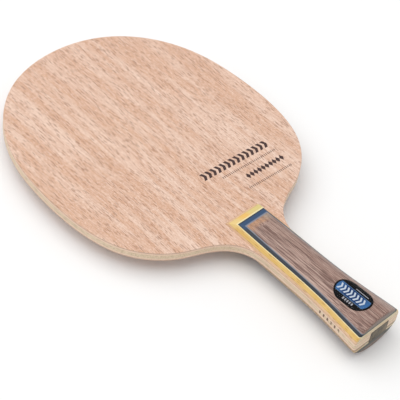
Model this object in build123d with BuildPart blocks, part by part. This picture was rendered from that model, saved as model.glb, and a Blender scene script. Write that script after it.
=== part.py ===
"""Table tennis blade: a five-ply bat with a flared, laminated handle, without rubbers.

Millimetres. X runs across the blade, Y from the butt to the tip of the head, Z up through
the front face. The origin is under the middle of the bat's length, on the surface that it
lies on: the lowest line of the back scale's crown is at Z = 0.
"""

import math
import os

from build123d import *

# Overall
LENGTH = 258.3
BUTT_Y = -129.1
TIP_Y = BUTT_Y + LENGTH

# Plies, the core first and the face veneers last
CORE = 2.6
CROSS_VENEER = 0.9
FACE_VENEER = 0.7
BLADE_HALF = CORE / 2 + CROSS_VENEER + FACE_VENEER
EDGE_ROUND = 0.25
BUTT_CORNER = 1.2

# Handle scales: distance from the butt, half width at the blade, crown height above mid-blade
STATIONS = (
    (0.0, 17.2, 12.00),
    (20.0, 14.8, 11.65),
    (40.0, 13.2, 11.15),
    (60.0, 12.9, 10.65),
    (80.0, 12.8, 10.25),
    (104.0, 12.1, 10.00),
)
CROWN = STATIONS[0][2]
MID_Z = CROWN
BASE_TOP = 4.1
GOLD_TOP = 6.5
STRIPE_TOP = 8.0
SCALE_LENGTH = 100.1
BEVEL_RADIUS = 19.5
BEVEL_FOOT_SLOPE = 40.0
BEVEL_TOP_SLOPE = 18.0
BEVEL_CREASE = 80.0
BEVEL_EDGE_ROUND = 0.5
BUTT_ROUND = 1.2

# Glue land: a shallow step in the face veneer that the scale's foot sits in
LAND_DEPTH = 0.2
LAND_GAP = 0.05
LAND_FULL_LENGTH = 76.5
LAND_REACH = 3 * STATIONS[0][1]
SCALE_FOOT = BLADE_HALF - LAND_DEPTH

# Badge on the crown near the butt: a printed skin under a clear dome
BADGE_Y = BUTT_Y + 19.5
BADGE_LENGTH = 23.0
BADGE_WIDTH = 15.0
BADGE_SKIN = 0.15
BADGE_DOME = 0.75
DOME_ROUND = 0.5

# Foil label on the butt end
LABEL_WIDTH = 13.8
LABEL_HEIGHT = 8.3
LABEL_THICKNESS = 0.1
LABEL_CORNER = 0.6
LABEL_X = 1.8
LABEL_Z = MID_Z - 1.1

# Half outline of the blade, from the tip round the shoulder and the neck to the butt
HEAD_HALF = (
    (0.0, TIP_Y),
    (35.8, BUTT_Y + 249.8),
    (58.3, BUTT_Y + 230.3),
    (70.6, BUTT_Y + 206.0),
    (75.6, BUTT_Y + 175.5),
    (74.2, BUTT_Y + 141.5),
    (66.9, BUTT_Y + 120.2),
    (53.2, BUTT_Y + 105.1),
    (43.0, BUTT_Y + 99.1),
    (35.0, BUTT_Y + 96.0),
    (27.0, BUTT_Y + 92.3),
    (21.0, BUTT_Y + 88.2),
    (16.8, BUTT_Y + 83.2),
    (14.3, BUTT_Y + 78.0),
    (13.0, BUTT_Y + 70.0),
)
FLARE_HALF = tuple((width, BUTT_Y + place) for place, width, _ in reversed(STATIONS[:4]))
FLARE_DIRECTION = (0.13, -1)
FLARE_PULL = 0.2


# The blade's plan: head, shoulders and flared tang in one outline
with BuildSketch() as blade_plan:
    with BuildLine():
        outline = Spline(
            *HEAD_HALF,
            *FLARE_HALF,
            tangents=((1, 0), FLARE_DIRECTION),
            tangent_scalars=(1, FLARE_PULL),
        )
        Line(outline @ 1, (0, BUTT_Y))
        mirror(about=Plane.YZ)
    make_face()
    fillet(blade_plan.vertices().group_by(Axis.Y)[0], BUTT_CORNER)


def ply(bottom, thickness):
    """One ply of the blade, its underside at that height above mid-blade."""
    with BuildPart() as layer:
        with BuildSketch(Plane.XY.offset(MID_Z + bottom)):
            add(blade_plan.sketch)
        extrude(amount=thickness)
    return layer.part


def arched_half(skin=0.0):
    """Arched half of the flared handle, from the butt to past the bevel, grown by skin."""
    with BuildPart() as arched:
        for place, half_width, crown in STATIONS:
            side = half_width + skin
            top = crown + skin
            across = side / math.sqrt(1 - (BLADE_HALF / top) ** 2)
            spring = math.degrees(math.asin(BLADE_HALF / top))
            with BuildSketch(Plane.XZ.offset(-(BUTT_Y + place))):
                with BuildLine():
                    EllipticalCenterArc((0, MID_Z), across, top, spring, arc_size=180 - 2 * spring)
                    Polyline(
                        (-side, MID_Z + BLADE_HALF),
                        (-side, MID_Z + SCALE_FOOT),
                        (side, MID_Z + SCALE_FOOT),
                        (side, MID_Z + BLADE_HALF),
                    )
                make_face()
        loft()
    return arched.part


# Front scale as one block: arched, rounded at the butt and bevelled towards the head
with BuildPart() as scale_block:
    add(arched_half())
    butt_face = scale_block.faces().sort_by(Axis.Y)[0]
    fillet(butt_face.edges().sort_by(Axis.Z)[-1], BUTT_ROUND)
    with BuildSketch(Plane.YZ.offset(-LENGTH / 2)):
        with BuildLine():
            slope = math.radians(BEVEL_FOOT_SLOPE)
            foot = Vector(BUTT_Y + SCALE_LENGTH, MID_Z + BLADE_HALF)
            rise = (-math.cos(slope), math.sin(slope))
            bevel = JernArc(foot, rise, BEVEL_RADIUS, BEVEL_FOOT_SLOPE - BEVEL_TOP_SLOPE)
            above_crown = (bevel @ 1) + (bevel % 1) * (CROWN / math.sin(math.radians(BEVEL_TOP_SLOPE)))
            Polyline(
                bevel @ 1,
                above_crown,
                (TIP_Y, MID_Z + 2 * CROWN),
                (TIP_Y, MID_Z),
                (foot.X, MID_Z),
                foot,
            )
        make_face()
    extrude(amount=LENGTH, mode=Mode.SUBTRACT)
    curved = scale_block.edges().filter_by(GeomType.BSPLINE)
    bevel_rim = curved.filter_by_position(Axis.Y, BUTT_Y + BEVEL_CREASE, BUTT_Y + SCALE_LENGTH - 1)
    fillet(bevel_rim, BEVEL_EDGE_ROUND)

# Glue land: the scale's footprint, and the blade's full width up to where the shoulders leave the grip
with BuildPart() as glue_land:
    add(arched_half(LAND_GAP))
    split(bisect_by=Plane.XY.offset(MID_Z + BLADE_HALF), keep=Keep.BOTTOM)
    split(bisect_by=Plane.XZ.offset(-(BUTT_Y + SCALE_LENGTH + LAND_GAP)), keep=Keep.TOP)
    with BuildSketch(Plane.XY.offset(MID_Z + SCALE_FOOT)):
        with Locations((0, BUTT_Y + LAND_FULL_LENGTH / 2)):
            Rectangle(LAND_REACH, LAND_FULL_LENGTH)
    extrude(amount=LAND_DEPTH)

# Blade
with BuildPart() as core_ply:
    add(ply(-CORE / 2, CORE))

with BuildPart() as cross_veneer_front:
    add(ply(CORE / 2, CROSS_VENEER))

with BuildPart() as face_veneer_front:
    add(ply(BLADE_HALF - FACE_VENEER, FACE_VENEER))
    fillet(face_veneer_front.edges().group_by(Axis.Z)[-1], EDGE_ROUND)
    add(glue_land.part, mode=Mode.SUBTRACT)

# Front scale: peach base, golden layer, blue stripe and walnut cap
with BuildPart() as front_scale_base:
    add(scale_block.part)
    split(bisect_by=Plane.XY.offset(MID_Z + BASE_TOP), keep=Keep.BOTTOM)

with BuildPart() as front_scale_gold:
    add(scale_block.part)
    split(bisect_by=Plane.XY.offset(MID_Z + BASE_TOP), keep=Keep.TOP)
    split(bisect_by=Plane.XY.offset(MID_Z + GOLD_TOP), keep=Keep.BOTTOM)

with BuildPart() as front_scale_stripe:
    add(scale_block.part)
    split(bisect_by=Plane.XY.offset(MID_Z + GOLD_TOP), keep=Keep.TOP)
    split(bisect_by=Plane.XY.offset(MID_Z + STRIPE_TOP), keep=Keep.BOTTOM)

with BuildPart() as front_scale_cap:
    add(scale_block.part)
    split(bisect_by=Plane.XY.offset(MID_Z + STRIPE_TOP), keep=Keep.TOP)


def badge_column():
    """Upright column with the badge's rounded outline."""
    with BuildPart() as column:
        with BuildSketch(Plane.XY.offset(MID_Z + STRIPE_TOP)):
            with Locations((0, BADGE_Y)):
                SlotOverall(BADGE_LENGTH, BADGE_WIDTH, rotation=90)
        extrude(amount=CROWN)
    return column.part


# Badge
with BuildPart() as badge_print:
    add(badge_column())
    add(arched_half(BADGE_SKIN), mode=Mode.INTERSECT)
    add(arched_half(), mode=Mode.SUBTRACT)

with BuildPart() as badge_dome:
    add(badge_column())
    add(arched_half(BADGE_SKIN + BADGE_DOME), mode=Mode.INTERSECT)
    rim = badge_dome.faces().sort_by(Axis.Z)[-1].edges()
    fillet(rim, DOME_ROUND)
    add(arched_half(BADGE_SKIN), mode=Mode.SUBTRACT)

# Foil label, flat on the butt end
with BuildPart() as butt_label:
    with BuildSketch(Plane.XZ.offset(-BUTT_Y)):
        with Locations((LABEL_X, LABEL_Z)):
            RectangleRounded(LABEL_WIDTH, LABEL_HEIGHT, LABEL_CORNER)
    extrude(amount=LABEL_THICKNESS)

pieces = {
    "core_ply": core_ply.part,
    "cross_veneer_front": cross_veneer_front.part,
    "face_veneer_front": face_veneer_front.part,
    "front_scale_base": front_scale_base.part,
    "front_scale_gold": front_scale_gold.part,
    "front_scale_stripe": front_scale_stripe.part,
    "front_scale_cap": front_scale_cap.part,
    "badge_print": badge_print.part,
    "badge_dome": badge_dome.part,
    "butt_label": butt_label.part,
}

# The back's plies and scale are the front's, turned over in the blade's middle plane
for name in (
    "cross_veneer_front",
    "face_veneer_front",
    "front_scale_base",
    "front_scale_gold",
    "front_scale_stripe",
    "front_scale_cap",
):
    with BuildPart() as twin:
        add(mirror(pieces[name], about=Plane.XY.offset(MID_Z), mode=Mode.PRIVATE))
    pieces[name.replace("front", "back")] = twin.part

os.makedirs("parts", exist_ok=True)
for name, piece in pieces.items():
    piece.label = name
    export_step(piece, f"parts/{name}.step")
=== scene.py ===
"""Looks of a table tennis blade: woods, print, resin badge and butt label, in a plain studio.

Every shader works in millimetres in the shared frame: X across the blade, Y from the butt to the tip of
the head, Z up through the front face. Wood grain runs along Y in every piece but the cross veneers.
"""

import math

import bmesh
import bpy
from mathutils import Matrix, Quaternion, Vector
from mathutils.bvhtree import BVHTree


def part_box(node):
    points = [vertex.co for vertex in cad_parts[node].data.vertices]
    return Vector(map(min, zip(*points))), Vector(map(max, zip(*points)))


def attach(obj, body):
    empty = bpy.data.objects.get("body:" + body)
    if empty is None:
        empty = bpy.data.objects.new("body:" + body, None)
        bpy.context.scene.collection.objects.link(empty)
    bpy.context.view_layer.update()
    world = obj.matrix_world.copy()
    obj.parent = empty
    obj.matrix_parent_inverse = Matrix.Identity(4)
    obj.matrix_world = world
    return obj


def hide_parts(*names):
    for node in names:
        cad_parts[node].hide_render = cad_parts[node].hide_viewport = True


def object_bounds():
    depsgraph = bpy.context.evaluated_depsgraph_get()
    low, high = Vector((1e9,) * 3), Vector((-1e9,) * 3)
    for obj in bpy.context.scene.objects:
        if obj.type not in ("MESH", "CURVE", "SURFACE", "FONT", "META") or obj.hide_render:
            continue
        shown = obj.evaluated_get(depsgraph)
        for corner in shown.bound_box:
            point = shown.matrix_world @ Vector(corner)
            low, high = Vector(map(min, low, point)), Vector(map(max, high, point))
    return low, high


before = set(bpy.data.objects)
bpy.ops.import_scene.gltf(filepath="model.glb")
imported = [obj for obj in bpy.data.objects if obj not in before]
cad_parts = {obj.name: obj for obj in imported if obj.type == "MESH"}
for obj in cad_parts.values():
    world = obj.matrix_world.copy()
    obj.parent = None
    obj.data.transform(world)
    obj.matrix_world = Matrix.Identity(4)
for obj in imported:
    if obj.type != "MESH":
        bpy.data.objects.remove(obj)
cad_low, cad_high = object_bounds()

MM = 0.001


def millimetres(node):
    """The lowest and highest corner of a CAD node, in millimetres."""
    low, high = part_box(node)
    return low / MM, high / MM


blade_low, blade_high = millimetres("face_veneer_front")
badge_low, badge_high = millimetres("badge_print")
gold_low, gold_high = millimetres("front_scale_gold")
stripe_low, stripe_high = millimetres("front_scale_stripe")
core_low, core_high = millimetres("core_ply")
label_low, label_high = millimetres("butt_label")
BUTT_Y = blade_low.y
FRONT_FACE = blade_high.z
BLADE_MIDDLE = (core_low.z + core_high.z) / 2

# Where the layers of the front scale start, above the middle of the blade; the back mirrors them
GOLD_FOOT = gold_low.z - BLADE_MIDDLE
STRIPE_FOOT = stripe_low.z - BLADE_MIDDLE
CAP_FOOT = stripe_high.z - BLADE_MIDDLE

# Middle and half size of the badge
BADGE_X = (badge_low.x + badge_high.x) / 2
BADGE_Y = (badge_low.y + badge_high.y) / 2
BADGE_HALF_WIDTH = (badge_high.x - badge_low.x) / 2
BADGE_HALF_LENGTH = (badge_high.y - badge_low.y) / 2

# The grip's half width at its waist, and the ends of its bevel as distances from the butt
GRIP_HALF = 12.8
BEVEL_CREASE = 82.5
BEVEL_FOOT = gold_high.y - BUTT_Y

# Where a material changes: the start and end of each change, as distances from the butt
AGEING = (150.0, 270.0)
# Painted light: from here the yellow turns to the lighter colours of the bevel.
GOLD_BEVEL_LIGHT = (BEVEL_FOOT - 6.5, BEVEL_FOOT - 4.0)
# Painted light: from here the blue turns to the lighter colour of the bevel.
STRIPE_BEVEL_LIGHT = (BEVEL_FOOT - 12.0, BEVEL_FOOT - 9.0)
CAP_BEVEL = (BEVEL_CREASE + 2.5, BEVEL_CREASE + 6.0)

# The same for the thin lines along the layers, as distances from the middle of the blade
GOLD_FOOT_LINE = (GOLD_FOOT + 0.3, GOLD_FOOT + 0.1)
GOLD_GLUE_LINE = (STRIPE_FOOT - 0.42, STRIPE_FOOT - 0.26)
STRIPE_RIM = (STRIPE_FOOT + 0.42, STRIPE_FOOT + 0.1)
STRIPE_GLUE_LINE = (CAP_FOOT - 0.4, CAP_FOOT - 0.2)
BACK_DARK_BAND = (5.3, 5.5)

# And for the way a surface faces: the end grain at the butt, and the edge of the blade
FACES_BUTT = (0.75, 0.95)
FACES_EDGE = (0.55, 0.35)

# The row of small marks on the left side of the core, near the butt
LEFT_SIDE = (-GRIP_HALF + 3.0, -GRIP_HALF + 1.0)
EDGE_MARKS = {
    "middle": BLADE_MIDDLE + 0.3,
    "height": 2.2,
    "last": 29.0,
    "pitch": 2.9,
    "count": 6,
    "thickness": 1.1,
}


# ---------------------------------------------------------------- shader building blocks


def srgb(red, green, blue):
    """A linear colour from the usual 0 to 255 display values."""

    def linear(value):
        value = value / 255
        return value / 12.92 if value <= 0.04045 else ((value + 0.055) / 1.055) ** 2.4

    return (linear(red), linear(green), linear(blue), 1.0)


class Field:
    """A number that varies over the surface. Arithmetic on fields makes shader nodes."""

    def __init__(self, shader, socket):
        self.shader = shader
        self.socket = socket

    def math(self, operation, *others):
        return self.shader.math(operation, self, *others)

    def __add__(self, other):
        return self.math("ADD", other)

    def __sub__(self, other):
        return self.math("SUBTRACT", other)

    def __mul__(self, other):
        return self.math("MULTIPLY", other)

    def __truediv__(self, other):
        return self.math("DIVIDE", other)

    def __rsub__(self, other):
        return self.shader.math("SUBTRACT", other, self)

    def __abs__(self):
        return self.math("ABSOLUTE")

    def most(self, other):
        """The larger of the two."""
        return self.math("MAXIMUM", other)

    def step(self, start, end):
        """0 before start, 1 after end, with a smooth rise between them; end may be the lower one."""
        return self.shader.map_range(self, start, end, 0.0, 1.0)

    def spread(self, low, high):
        """The field's 0 to 1 stretched to run from low to high."""
        return self.shader.map_range(self, 0.0, 1.0, low, high, "LINEAR")


class Shader:
    """One material's node tree, with the object's own coordinates in millimetres."""

    def __init__(self, name):
        self.material = bpy.data.materials.new(name)
        self.material.use_nodes = True
        self.nodes = self.material.node_tree.nodes
        self.links = self.material.node_tree.links
        self.nodes.clear()
        own = self.node("ShaderNodeTexCoord").outputs
        scale = self.node("ShaderNodeVectorMath", operation="SCALE")
        self.links.new(own["Object"], scale.inputs[0])
        scale.inputs["Scale"].default_value = 1 / MM
        self.x, self.y, self.z = self.split(scale.outputs["Vector"])
        _, normal_y, normal_z = self.split(own["Normal"])
        self.facing_y = abs(normal_y)
        self.facing_z = abs(normal_z)

    def node(self, kind, **settings):
        """A new node with these properties."""
        made = self.nodes.new(kind)
        for name, value in settings.items():
            setattr(made, name, value)
        return made

    def feed(self, socket, value):
        """Link the socket to a field or another socket, or set it to a plain value."""
        if isinstance(value, Field):
            self.links.new(value.socket, socket)
        elif isinstance(value, bpy.types.NodeSocket):
            self.links.new(value, socket)
        else:
            socket.default_value = value

    def split(self, vector):
        """The three parts of a vector, as fields."""
        made = self.node("ShaderNodeSeparateXYZ")
        self.links.new(vector, made.inputs[0])
        return [Field(self, socket) for socket in made.outputs]

    def join(self, x, y, z):
        """A vector socket made of three fields or numbers."""
        made = self.node("ShaderNodeCombineXYZ")
        for socket, value in zip(made.inputs, (x, y, z)):
            self.feed(socket, value)
        return made.outputs[0]

    def math(self, operation, *values):
        made = self.node("ShaderNodeMath", operation=operation)
        for socket, value in zip(made.inputs, values):
            self.feed(socket, value)
        return Field(self, made.outputs[0])

    def map_range(self, value, start, end, low, high, curve="SMOOTHSTEP"):
        made = self.node("ShaderNodeMapRange", interpolation_type=curve)
        for name, given in (
            ("Value", value),
            ("From Min", start),
            ("From Max", end),
            ("To Min", low),
            ("To Max", high),
        ):
            self.feed(made.inputs[name], given)
        return Field(self, made.outputs["Result"])

    def mix(self, share, first, second):
        """First colour where share is 0, second where it is 1."""
        made = self.node("ShaderNodeMix", data_type="RGBA")
        self.feed(made.inputs["Factor"], share)
        sockets = [s for s in made.inputs if s.type == "RGBA"]
        self.feed(sockets[0], first)
        self.feed(sockets[1], second)
        return [s for s in made.outputs if s.type == "RGBA"][0]

    def noise(self, size, detail=2.0, roughness=0.5, seed=0.0, point=None):
        """Soft noise from 0 to 1 whose lumps have this (x, y, z) size."""
        x, y, z = self.split(point) if point else (self.x, self.y, self.z)
        made = self.node("ShaderNodeTexNoise", noise_dimensions="3D")
        stretched = self.join(x / size[0] + seed, y / size[1] - seed, z / size[2] + seed)
        self.links.new(stretched, made.inputs["Vector"])
        made.inputs["Scale"].default_value = 1.0
        made.inputs["Detail"].default_value = detail
        made.inputs["Roughness"].default_value = roughness
        return Field(self, made.outputs["Fac"])

    def cells(self, size, seed=0.0, point=None):
        """Distance from the middle of a scattered cell of this size, and a random number for the cell."""
        x, y, z = self.split(point) if point else (self.x, self.y, self.z)
        made = self.node("ShaderNodeTexVoronoi", voronoi_dimensions="3D", feature="F1")
        stretched = self.join(x / size[0] + seed, y / size[1] - seed, z / size[2] + seed)
        self.links.new(stretched, made.inputs["Vector"])
        made.inputs["Scale"].default_value = 1.0
        colour = self.node("ShaderNodeSeparateColor")
        self.links.new(made.outputs["Color"], colour.inputs[0])
        return Field(self, made.outputs["Distance"]), Field(self, colour.outputs[0])

    def finish(self, bump=None, bump_depth=0.05, **inputs):
        """The Principled shader that ends the tree; bump is a height, bump_depth its millimetres."""
        made = self.node("ShaderNodeBsdfPrincipled")
        for name, value in inputs.items():
            self.feed(made.inputs[name.replace("_", " ")], value)
        if bump is not None:
            relief = self.node("ShaderNodeBump")
            relief.inputs["Strength"].default_value = 1.0
            relief.inputs["Distance"].default_value = bump_depth * MM
            self.links.new(bump.socket, relief.inputs["Height"])
            self.links.new(relief.outputs["Normal"], made.inputs["Normal"])
        output = self.node("ShaderNodeOutputMaterial")
        self.links.new(made.outputs["BSDF"], output.inputs["Surface"])
        return self.material


# ---------------------------------------------------------------- wood


def wavy_point(shader, sway, seed):
    """The point with its grain swaying sideways by about sway millimetres."""
    drift = shader.noise((40.0, 90.0, 40.0), detail=1.0, seed=seed)
    return shader.join(shader.x + (drift - 0.5) * (2 * sway), shader.y, shader.z)


def pores(shader, width, length, share, seed, point):
    """1 inside short dark vessels along the grain, on about that share of the places they could be."""
    distance, chance = shader.cells((width * 2.2, length * 1.5, width * 2.2), seed, point)
    return distance.step(0.42, 0.26) * chance.step(1.0 - share, 1.02 - share)


def dashes(shader, width, length, start, seed, point):
    """1 on ragged short strokes along the grain; a higher start leaves fewer of them."""
    noise = shader.noise((width, length, width), detail=1.0, roughness=0.4, seed=seed, point=point)
    return noise.step(start, start + 0.1)


def end_grain(shader):
    """1 where the surface faces along the grain, as the butt does."""
    return shader.facing_y.step(*FACES_BUTT)


def face_veneer():
    """Pinkish tan veneer: broad darker bands, long fine lines, short vessels and fine specks."""
    shader = Shader("face_veneer")
    point = wavy_point(shader, 3.0, 1.7)
    broad = shader.noise((6.5, 110.0, 6.5), detail=3.0, roughness=0.5, seed=4.0, point=point)
    mottle = shader.noise((4.0, 16.0, 4.0), detail=2.0, seed=9.0, point=point)
    streak = shader.noise((1.2, 50.0, 1.2), detail=3.0, roughness=0.65, seed=2.0, point=point)
    fibre = shader.noise((0.45, 6.0, 0.45), detail=2.0, roughness=0.6, seed=5.0, point=point)
    speck = shader.noise((0.6, 1.5, 0.6), detail=2.0, roughness=0.7, seed=41.0, point=point)
    line = dashes(shader, 0.45, 11.0, 0.56, 12.0, point)
    vessels = pores(shader, 0.34, 3.4, 0.6, 3.0, point)
    pale_line = dashes(shader, 0.45, 9.0, 0.57, 17.0, point)
    ageing = (shader.y - BUTT_Y + shader.x * 0.8).step(*AGEING)

    colour = shader.mix(broad.step(0.4, 0.6), srgb(233, 202, 182), srgb(216, 172, 143))
    colour = shader.mix(ageing * 0.3, colour, srgb(214, 172, 148))
    colour = shader.mix(mottle.step(0.45, 0.7) * 0.35, colour, srgb(208, 164, 135))
    colour = shader.mix(streak.step(0.47, 0.66) * 0.55, colour, srgb(200, 155, 128))
    colour = shader.mix(fibre.step(0.42, 0.72) * 0.45, colour, srgb(238, 208, 190))
    colour = shader.mix(speck.step(0.54, 0.66) * 0.5, colour, srgb(246, 220, 204))
    colour = shader.mix(speck.step(0.46, 0.36) * 0.4, colour, srgb(190, 142, 114))
    colour = shader.mix(pale_line * 0.4, colour, srgb(244, 218, 202))
    colour = shader.mix(line * 0.42, colour, srgb(184, 138, 112))
    colour = shader.mix(vessels * 0.6, colour, srgb(152, 108, 84))
    edge = shader.facing_z.step(*FACES_EDGE)
    colour = shader.mix(edge * 0.8, colour, srgb(196, 168, 146))
    colour = shader.mix(head_print(shader), colour, srgb(60, 34, 30))
    return shader.finish(
        Base_Color=colour,
        Roughness=fibre.spread(0.5, 0.7),
        bump=fibre * 0.5 + speck * 0.3 - line * 0.3 - vessels * 0.5,
        bump_depth=0.07,
    )


def cross_veneer():
    """Its grain runs across the blade, so the long sides of the edge show its end grain."""
    shader = Shader("cross_veneer")
    grain = shader.noise((3.0, 0.5, 0.4), detail=3.0, roughness=0.6, seed=3.0)
    fleck, chance = shader.cells((6.0, 0.5, 0.5), seed=6.0)
    colour = shader.mix(grain.step(0.35, 0.7), srgb(240, 212, 190), srgb(226, 194, 168))
    flecks = fleck.step(0.4, 0.25) * chance.step(0.5, 0.52)
    colour = shader.mix(flecks * 0.35, colour, srgb(186, 150, 120))
    return shader.finish(
        Base_Color=colour,
        Roughness=grain.spread(0.55, 0.72),
        bump=grain,
        bump_depth=0.05,
    )


def core():
    """Pale, straight-grained wood, with a row of small dark marks on the grip's left side."""
    shader = Shader("core")
    point = wavy_point(shader, 1.0, 2.5)
    grain = shader.noise((0.6, 16.0, 0.6), detail=3.0, roughness=0.6, seed=5.0, point=point)
    vessels = pores(shader, 0.3, 3.5, 0.5, 4.0, point)
    colour = shader.mix(grain.step(0.35, 0.7), srgb(228, 206, 178), srgb(208, 184, 154))
    colour = shader.mix(vessels * 0.45, colour, srgb(160, 138, 104))
    marks = ticks(shader.y - BUTT_Y, shader.z, **EDGE_MARKS)
    wear = shader.noise((1.5, 1.5, 1.5), detail=1.0, seed=8.0).step(0.25, 0.42)
    on_left = shader.x.step(*LEFT_SIDE)
    colour = shader.mix(marks * wear * on_left * 0.85, colour, srgb(88, 52, 40))
    return shader.finish(
        Base_Color=colour,
        Roughness=grain.spread(0.55, 0.72),
        bump=grain * 0.6 - vessels * 0.5,
        bump_depth=0.05,
    )


def grip_wood(name, light, dark, pale, vessel, butt_light, butt_dark):
    """Straight-grained wood of the grip, with its own two colours on the end grain at the butt."""
    shader = Shader(name)
    point = wavy_point(shader, 1.0, 6.0)
    streak = shader.noise((1.0, 40.0, 1.0), detail=3.0, roughness=0.6, seed=7.0, point=point)
    fibre = shader.noise((0.35, 8.0, 0.35), detail=2.0, seed=1.0, point=point)
    vessels = pores(shader, 0.3, 3.0, 0.5, 6.0, point)
    cloud = shader.noise((6.0, 6.0, 6.0), detail=2.0, seed=11.0)
    fleck = shader.noise((0.6, 0.6, 0.6), detail=2.0, seed=21.0)
    colour = shader.mix(streak.step(0.3, 0.7), light, dark)
    colour = shader.mix(fibre.step(0.45, 0.8) * 0.45, colour, pale)
    colour = shader.mix(vessels * 0.5, colour, vessel)
    butt = shader.mix(cloud.step(0.35, 0.65), butt_light, butt_dark)
    butt = shader.mix(fleck.step(0.54, 0.68) * 0.55, butt, vessel)
    colour = shader.mix(end_grain(shader), colour, butt)
    return shader, colour, fibre, vessels


def grip_finish(shader, colour, fibre, vessels):
    """The satin surface that the grip's plain woods share."""
    return shader.finish(
        Base_Color=colour,
        Roughness=fibre.spread(0.4, 0.55),
        bump=fibre * 0.5 - vessels * 0.5,
        bump_depth=0.04,
    )


def scale_base():
    """Peach wood next to the blade, with painted shade: toned darker on the back scale, which faces down.
    """
    shader, colour, fibre, vessels = grip_wood(
        "scale_base",
        light=srgb(228, 192, 156),
        dark=srgb(216, 176, 138),
        pale=srgb(238, 208, 174),
        vessel=srgb(170, 124, 84),
        butt_light=srgb(224, 210, 178),
        butt_dark=srgb(214, 188, 150),
    )
    # Painted shade: the back scale is toned darker towards olive brown, standing in for the shade beneath
    # the grip.
    back_shade = (BLADE_MIDDLE - shader.z).step(0.0, 1.0)
    colour = shader.mix(back_shade * 0.6, colour, srgb(112, 98, 72))
    return grip_finish(shader, colour, fibre, vessels)


def scale_gold():
    """Golden yellow wood between a dark line and a pale glue line, with painted light making it paler on
    the bevel, and dark navy outwards on the back.
    """
    shader, colour, fibre, vessels = grip_wood(
        "scale_gold",
        light=srgb(228, 192, 118),
        dark=srgb(216, 174, 94),
        pale=srgb(238, 212, 148),
        vessel=srgb(170, 124, 62),
        butt_light=srgb(222, 208, 176),
        butt_dark=srgb(212, 186, 150),
    )
    # Painted light: on the bevel, which faces up, the yellow turns to paler, lit copies that change
    # across the grip.
    across = shader.x.step(-GRIP_HALF, GRIP_HALF)
    bevel_light = (shader.y - BUTT_Y).step(*GOLD_BEVEL_LIGHT)
    bevel = shader.mix(across, srgb(236, 208, 140), srgb(214, 204, 134))
    bevel = shader.mix(abs(across - 0.4).step(0.3, 0.05), bevel, srgb(238, 190, 98))
    colour = shader.mix(bevel_light * 0.75, colour, bevel)
    height = abs(shader.z - BLADE_MIDDLE)
    foot = height.step(*GOLD_FOOT_LINE)
    colour = shader.mix(foot * 0.3, colour, srgb(166, 118, 66))
    glue = height.step(*GOLD_GLUE_LINE)
    colour = shader.mix(glue * 0.75, colour, srgb(240, 230, 186))
    # A dark navy band outwards on the back of this layer, from 5.3 to 5.5 mm below the middle of the
    # blade.
    back_dark_band = (BLADE_MIDDLE - shader.z).step(*BACK_DARK_BAND)
    colour = shader.mix(back_dark_band * 0.9, colour, srgb(38, 48, 62))
    return grip_finish(shader, colour, fibre, vessels)


def scale_stripe():
    """Dyed blue veneer, nearly black at its rim against the yellow, greyed by glue against the cap. Its
    blue is painted darker on the sides as shade, and lighter and bluer on the bevel as light.
    """
    shader = Shader("scale_stripe")
    fibre = shader.noise((0.35, 14.0, 0.35), detail=3.0, seed=2.0)
    patch = shader.noise((3.0, 7.0, 3.0), detail=2.0, seed=8.0)
    # Painted shade: the blue of the sides is darkened to how it looks in shade.
    colour = shader.mix(fibre.step(0.35, 0.75), srgb(26, 36, 48), srgb(50, 60, 72))
    colour = shader.mix(patch.step(0.45, 0.75) * 0.4, colour, srgb(52, 50, 68))
    # Painted light: a lighter, bluer copy on the bevel, which faces up.
    bevel = (shader.y - BUTT_Y).step(*STRIPE_BEVEL_LIGHT)
    colour = shader.mix(bevel * 0.85, colour, srgb(32, 72, 112))
    height = abs(shader.z - BLADE_MIDDLE)
    rim = height.step(*STRIPE_RIM)
    colour = shader.mix(rim * 0.85, colour, srgb(16, 20, 30))
    glue = height.step(*STRIPE_GLUE_LINE)
    colour = shader.mix(glue * 0.75, colour, srgb(140, 144, 156))
    colour = shader.mix(end_grain(shader) * 0.85, colour, srgb(88, 90, 82))
    return shader.finish(
        Base_Color=colour,
        Roughness=fibre.spread(0.38, 0.55),
        bump=fibre,
        bump_depth=0.03,
    )


def scale_cap():
    """Walnut with long dark streaks, darker on its end grain and warmer where the bevel cuts it."""
    shader = Shader("scale_cap")
    point = wavy_point(shader, 2.6, 3.0)
    broad = shader.noise((4.5, 90.0, 4.5), detail=2.0, seed=8.0, point=point)
    streak = shader.noise((0.9, 70.0, 0.9), detail=2.0, roughness=0.55, seed=5.0, point=point)
    thin = shader.noise((0.42, 40.0, 0.42), detail=2.0, roughness=0.6, seed=9.0, point=point)
    fine = shader.noise((0.36, 16.0, 0.36), detail=2.0, roughness=0.6, seed=15.0, point=point)
    vessels = pores(shader, 0.3, 5.0, 0.5, 2.0, point)
    soft = shader.noise((4.0, 5.0, 4.0), detail=1.0, seed=31.0)
    bevel = (shader.y - BUTT_Y + soft * 5.0).step(*CAP_BEVEL)
    warm = shader.mix(shader.x.step(0.0, 7.0), srgb(192, 142, 102), srgb(162, 148, 132))
    colour = shader.mix(broad.step(0.36, 0.64), srgb(177, 147, 134), srgb(144, 111, 99))
    colour = shader.mix(bevel * 0.8, colour, warm)
    depth = bevel.spread(1.0, 0.5)
    colour = shader.mix(streak.step(0.48, 0.56) * 0.85 * depth, colour, srgb(104, 72, 62))
    colour = shader.mix(thin.step(0.5, 0.6) * 0.65 * depth, colour, srgb(108, 77, 68))
    colour = shader.mix(fine.step(0.5, 0.64) * 0.6 * depth, colour, srgb(204, 177, 163))
    colour = shader.mix(vessels * 0.5 * depth, colour, srgb(80, 54, 46))
    far_side = shader.x.step(4.0, 11.0)
    colour = shader.mix(far_side * 0.3, colour, srgb(172, 158, 151))
    colour = shader.mix(end_grain(shader) * 0.75, colour, srgb(122, 110, 101))
    return shader.finish(
        Base_Color=colour,
        Roughness=streak.spread(0.42, 0.58),
        bump=fine * 0.4 - vessels * 0.6,
        bump_depth=0.06,
    )


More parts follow.
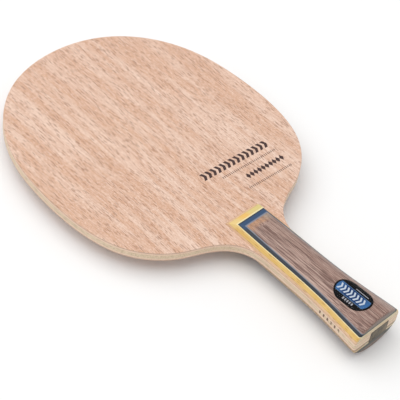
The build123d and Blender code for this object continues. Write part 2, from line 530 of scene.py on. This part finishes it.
# ---------------------------------------------------------------- print, badge and label

# Soft edge of every printed shape; a diamond's is a share of its size
SOFT_EDGE = 0.08
DIAMOND_EDGE = (1.08, 0.92)

# The head's ornament: where its rows end, how they slope, and how far from the butt they are measured.
# The ink lies in a thin skin at the front face only.
PRINT_RIGHT = 49.5
PRINT_TILT = math.radians(-3.0)
PRINT_BASE = 109.5
PRINT_DEPTH = (FRONT_FACE - 0.3, FRONT_FACE - 0.1)
FAINT_INK = 0.85
ARROW_ROW = {"middle": 22.4, "height": 5.2, "pitch": 3.5, "count": 14, "thickness": 1.95, "slope": 0.5}
UPPER_ROW = {"middle": 16.0, "height": 1.5, "pitch": 1.25, "count": 32, "thickness": 0.5}
BEAD_ROW = {"middle": 9.2, "height": 4.3, "pitch": 2.8, "count": 10, "width": 2.75}
LOWER_ROW = {"middle": 2.0, "height": 1.5, "pitch": 1.25, "count": 26, "thickness": 0.5}

# The badge's blue band, its marks, and the dark rim round them, measured from the badge's middle
BAND_X = -0.7
BAND_WIDTH = 6.6
BAND_LINE = (0.3, 0.1)
BADGE_RIM = (BADGE_HALF_WIDTH - 0.95, BADGE_HALF_WIDTH - 1.15)
BADGE_ARROWS = {
    "middle": BAND_X,
    "height": 4.6,
    "last": 8.8,
    "pitch": 2.2,
    "count": 8,
    "thickness": 1.05,
    "slope": 0.5,
}
BADGE_TICKS = {"middle": -5.4, "height": 1.3, "last": 3.0, "pitch": 1.5, "count": 5, "thickness": 0.8}
BADGE_LINE_X = 4.2
BADGE_LINE_WIDTH = 0.55
BADGE_LINE_MIDDLE = -2.6
BADGE_LINE_LENGTH = 8.6

# The label's dark rim, as distances past its edge
LABEL_RIM = (-0.7, -0.4)


def band(field, middle, width):
    """1 on a band of this width round the line field = middle, with a thin soft edge."""
    return abs(field - middle).step(width / 2 + SOFT_EDGE, width / 2 - SOFT_EDGE)


def repeats(along, last, pitch, count):
    """Distance from the nearest of count marks that end at last, and 1 over the stretch they take."""
    place = (along - last) / pitch
    offset = (place.math("FRACT") - 0.5) * pitch
    return offset, band(along, last - count * pitch / 2, count * pitch)


def chevrons(along, across, middle, height, last, pitch, count, thickness, slope):
    """A row of arrowheads that point along the row."""
    rise = abs(across - middle)
    offset, stretch = repeats(along + rise * slope, last, pitch, count)
    return band(offset, 0.0, thickness) * band(across, middle, height) * stretch


def diamonds(along, across, middle, height, last, pitch, count, width):
    """A row of solid diamonds."""
    offset, stretch = repeats(along, last, pitch, count)
    inside = abs(offset) / (width / 2) + abs(across - middle) / (height / 2)
    return inside.step(*DIAMOND_EDGE) * stretch


def ticks(along, across, middle, height, last, pitch, count, thickness):
    """A row of short upright strokes."""
    offset, stretch = repeats(along, last, pitch, count)
    return band(offset, 0.0, thickness) * band(across, middle, height) * stretch


def head_print(shader):
    """A plain ornament of four rows, printed on the front face of the head beside the handle."""
    level = shader.y - (BUTT_Y + PRINT_BASE)
    along = shader.x * math.cos(PRINT_TILT) + level * math.sin(PRINT_TILT)
    across = level * math.cos(PRINT_TILT) - shader.x * math.sin(PRINT_TILT)
    arrows = chevrons(along, across, last=PRINT_RIGHT, **ARROW_ROW)
    beads = diamonds(along, across, last=PRINT_RIGHT, **BEAD_ROW)
    upper = ticks(along, across, last=PRINT_RIGHT, **UPPER_ROW)
    lower = ticks(along, across, last=PRINT_RIGHT, **LOWER_ROW)
    ink = arrows.most(beads).most(upper * FAINT_INK).most(lower * FAINT_INK)
    return ink * shader.z.step(*PRINT_DEPTH)


def badge_print():
    """A dark field with a blue band along the grip, light chevrons on it and a thin mark each side. A
    painted highlight lightens the band towards its ends and in patches.
    """
    shader = Shader("badge_print")
    along = shader.y - BADGE_Y
    past_straight = (abs(along) - (BADGE_HALF_LENGTH - BADGE_HALF_WIDTH)).most(0.0)
    reach = (shader.x * shader.x + past_straight * past_straight).math("SQRT")
    inside = reach.step(*BADGE_RIM)
    stripe = band(shader.x, BAND_X, BAND_WIDTH) * inside
    # Painted highlight: the blue band is lighter towards its ends and in soft glint patches.
    ends = abs(along).step(4.0, 9.5)
    glint = shader.noise((1.2, 5.0, 5.0), detail=2.0, seed=4.0)
    blue = shader.mix(ends * 0.7 + glint.step(0.5, 0.8) * 0.3, srgb(24, 62, 116), srgb(78, 132, 192))
    colour = shader.mix(stripe, srgb(8, 9, 13), blue)
    lines = abs(abs(shader.x - BAND_X) - BAND_WIDTH / 2).step(*BAND_LINE) * inside
    colour = shader.mix(lines * 0.5, colour, srgb(120, 160, 205))
    arrows = chevrons(along * -1.0, shader.x, **BADGE_ARROWS)
    colour = shader.mix(arrows * 0.95, colour, srgb(222, 234, 248))
    thin = band(shader.x, BADGE_LINE_X, BADGE_LINE_WIDTH)
    thin = thin * band(along, BADGE_LINE_MIDDLE, BADGE_LINE_LENGTH)
    bold = ticks(along, shader.x, **BADGE_TICKS)
    colour = shader.mix(thin.most(bold) * 0.9, colour, srgb(196, 196, 204))
    return shader.finish(Base_Color=colour, Roughness=0.35, Specular_IOR_Level=0.1)


def badge_resin():
    """Clear resin with a faint dark tint."""
    shader = Shader("badge_resin")
    return shader.finish(
        Base_Color=srgb(10, 12, 18),
        Roughness=0.05,
        Alpha=0.14,
        IOR=1.5,
        Specular_IOR_Level=0.2,
    )


def butt_label():
    """Dull bronze foil with a dark rim, and a painted sheen: lighter towards the lower right and in
    streaks along the brush marks.
    """
    shader = Shader("butt_label")
    brushed = shader.noise((5.0, 1.0, 0.15), detail=3.0, seed=2.0)
    cloud = shader.noise((1.6, 1.6, 1.1), detail=3.0, roughness=0.6, seed=6.0)
    colour = shader.mix(cloud.step(0.36, 0.64), srgb(54, 46, 32), srgb(112, 98, 72))
    # Painted sheen: the foil is lighter towards the lower right of the label.
    lower_right_sheen = (shader.x - (shader.z - label_low.z)).step(-2.0, 6.0)
    colour = shader.mix(lower_right_sheen * 0.45, colour, srgb(150, 132, 104))
    # Painted sheen: lighter streaks along the brush marks in the colour; the same brush marks also vary
    # the roughness.
    colour = shader.mix(brushed.step(0.5, 0.8) * 0.3, colour, srgb(150, 136, 104))
    middle_x = (label_low.x + label_high.x) / 2
    middle_z = (label_low.z + label_high.z) / 2
    to_side = abs(shader.x - middle_x) - (label_high.x - label_low.x) / 2
    to_top = abs(shader.z - middle_z) - (label_high.z - label_low.z) / 2
    rim = to_side.most(to_top).step(*LABEL_RIM)
    colour = shader.mix(rim * 0.7, colour, srgb(48, 40, 28))
    return shader.finish(Base_Color=colour, Metallic=0.2, Roughness=brushed.spread(0.35, 0.5))


FINISHES = {
    "face_veneer": face_veneer(),
    "cross_veneer": cross_veneer(),
    "core": core(),
    "scale_base": scale_base(),
    "scale_gold": scale_gold(),
    "scale_stripe": scale_stripe(),
    "scale_cap": scale_cap(),
    "badge_print": badge_print(),
    "badge_dome": badge_resin(),
    "butt_label": butt_label(),
}
NODE_FINISH = {
    "core_ply": "core",
    "badge_print": "badge_print",
    "badge_dome": "badge_dome",
    "butt_label": "butt_label",
}
for side in ("front", "back"):
    for veneer in ("face_veneer", "cross_veneer"):
        NODE_FINISH[f"{veneer}_{side}"] = veneer
    for layer in ("base", "gold", "stripe", "cap"):
        NODE_FINISH[f"{side}_scale_{layer}"] = f"scale_{layer}"
for name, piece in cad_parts.items():
    piece.data.materials.clear()
    piece.data.materials.append(FINISHES[NODE_FINISH[name]])


# ---------------------------------------------------------------- resin dome on the badge

# Depth below the print, height above it, and width of the round shoulder
DOME_SINK = 0.08
DOME_HEIGHT = 0.72
DOME_SHOULDER = 2.6

# Rings of the mesh: how many, how much they crowd outwards, and the insets they stay between
DOME_RINGS = 12
DOME_CROWDING = 1.6
OUTERMOST = 0.04
INNERMOST = BADGE_HALF_WIDTH - 0.6
ROUND_STEPS = 24
STRAIGHT_STEPS = 8
WELD = 0.001

# Height in metres from which rays look down for the print
RAY_START = 1.0


def slot_ring(inset):
    """Points round the badge's outline, inset from its full size."""
    straight = BADGE_HALF_LENGTH - BADGE_HALF_WIDTH
    radius = BADGE_HALF_WIDTH - inset
    ring = []
    for end in (1, -1):
        for step in range(ROUND_STEPS + 1):
            angle = math.pi * step / ROUND_STEPS
            ring.append((end * radius * math.cos(angle), end * (straight + radius * math.sin(angle))))
        for step in range(1, STRAIGHT_STEPS):
            ring.append((-end * radius, end * straight * (1 - 2 * step / STRAIGHT_STEPS)))
    return ring


def dome_height(inset):
    """Height of the resin above the print: a round shoulder that flattens out inwards."""
    share = min(inset / DOME_SHOULDER, 1.0)
    return DOME_HEIGHT * math.sqrt(1 - (1 - share) ** 2)


def resin_dome():
    """Clear resin on the badge: it follows the print below and swells to a soft lens above."""
    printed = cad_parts["badge_print"].data
    corners = [vertex.co for vertex in printed.vertices]
    surface = BVHTree.FromPolygons(corners, [polygon.vertices for polygon in printed.polygons])
    mesh = bmesh.new()

    def ring_at(inset, height):
        ring = []
        for x, y in slot_ring(max(inset, OUTERMOST)):
            above = Vector(((BADGE_X + x) * MM, (BADGE_Y + y) * MM, RAY_START))
            hit = surface.ray_cast(above, Vector((0, 0, -1)))[0]
            ring.append(mesh.verts.new(hit + Vector((0, 0, height * MM))))
        return ring

    def join_rings(outer, inner):
        for index in range(len(outer)):
            after = (index + 1) % len(outer)
            mesh.faces.new((outer[index], outer[after], inner[after], inner[index]))

    rims = []
    for top in (True, False):
        rings = []
        for number in range(DOME_RINGS + 1):
            inset = INNERMOST * (number / DOME_RINGS) ** DOME_CROWDING
            rings.append(ring_at(inset, dome_height(inset) if top else -DOME_SINK))
        for outer, inner in zip(rings, rings[1:]):
            join_rings(outer, inner)
        mesh.faces.new(rings[-1])
        rims.append(rings[0])
    join_rings(*rims)
    bmesh.ops.remove_doubles(mesh, verts=mesh.verts, dist=WELD * MM)
    bmesh.ops.recalc_face_normals(mesh, faces=mesh.faces)
    data = bpy.data.meshes.new("badge_resin")
    mesh.to_mesh(data)
    mesh.free()
    data.shade_smooth()
    data.materials.append(FINISHES["badge_dome"])
    dome = bpy.data.objects.new("badge_resin", data)
    bpy.context.scene.collection.objects.link(dome)
    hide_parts("badge_dome")
    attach(dome, "root")


resin_dome()


# ---------------------------------------------------------------- studio

MIDDLE = (cad_low + cad_high) / 2

# In metres and watts
FLOOR_REACH = 6.0
SOFTBOX_PLACE = (-0.3, 0.5, 1.5)
SOFTBOX_SIZE = 2.2
SOFTBOX_POWER = 18.5
SKY_STRENGTH = 0.66


def floor():
    """A plain pale floor, which isn't part of the object."""
    mesh = bpy.data.meshes.new("floor")
    signs = ((-1, -1), (1, -1), (1, 1), (-1, 1))
    corners = [(across * FLOOR_REACH, along * FLOOR_REACH, 0.0) for across, along in signs]
    mesh.from_pydata(corners, [], [(0, 1, 2, 3)])
    made = bpy.data.objects.new("floor", mesh)
    bpy.context.scene.collection.objects.link(made)
    shader = Shader("floor")
    made.data.materials.append(shader.finish(Base_Color=srgb(250, 250, 250), Roughness=0.9))


def area_light(name, place, size, power):
    """A soft square light at place, aimed at the middle of the object."""
    lamp = bpy.data.lights.new(name, "AREA")
    lamp.size = size
    lamp.energy = power
    made = bpy.data.objects.new(name, lamp)
    made.location = place
    made.rotation_mode = "QUATERNION"
    made.rotation_quaternion = (MIDDLE - Vector(place)).to_track_quat("-Z", "Y")
    bpy.context.scene.collection.objects.link(made)


floor()
area_light("softbox", SOFTBOX_PLACE, SOFTBOX_SIZE, SOFTBOX_POWER)

world = bpy.data.worlds.new("studio")
world.use_nodes = True
sky = world.node_tree.nodes["Background"]
sky.inputs["Color"].default_value = srgb(255, 255, 255)
sky.inputs["Strength"].default_value = SKY_STRENGTH
bpy.context.scene.world = world
bpy.context.scene.view_settings.view_transform = "Standard"


# ---------------------------------------------------------------- camera

# The point it looks at and where it stands seen from there, in metres; its lens is in millimetres
CAMERA_TARGET = Vector((-0.0111, -0.0082, FRONT_FACE * MM))
CAMERA_AZIMUTH = math.radians(-52.17)
CAMERA_ELEVATION = math.radians(46.64)
CAMERA_ROLL = math.radians(10.89)
CAMERA_DISTANCE = 0.8675
LENS_LENGTH = 144.0
SENSOR_WIDTH = 36.0

lens = bpy.data.cameras.new("camera")
lens.lens = LENS_LENGTH
lens.sensor_width = SENSOR_WIDTH
camera = bpy.data.objects.new("camera", lens)
back = Vector(
    (
        math.sin(CAMERA_AZIMUTH) * math.cos(CAMERA_ELEVATION),
        -math.cos(CAMERA_AZIMUTH) * math.cos(CAMERA_ELEVATION),
        math.sin(CAMERA_ELEVATION),
    )
)
camera.location = CAMERA_TARGET + back * CAMERA_DISTANCE
camera.rotation_mode = "QUATERNION"
camera.rotation_quaternion = (-back).to_track_quat("-Z", "Y") @ Quaternion((0, 0, 1), CAMERA_ROLL)
bpy.context.scene.collection.objects.link(camera)
bpy.context.scene.camera = camera
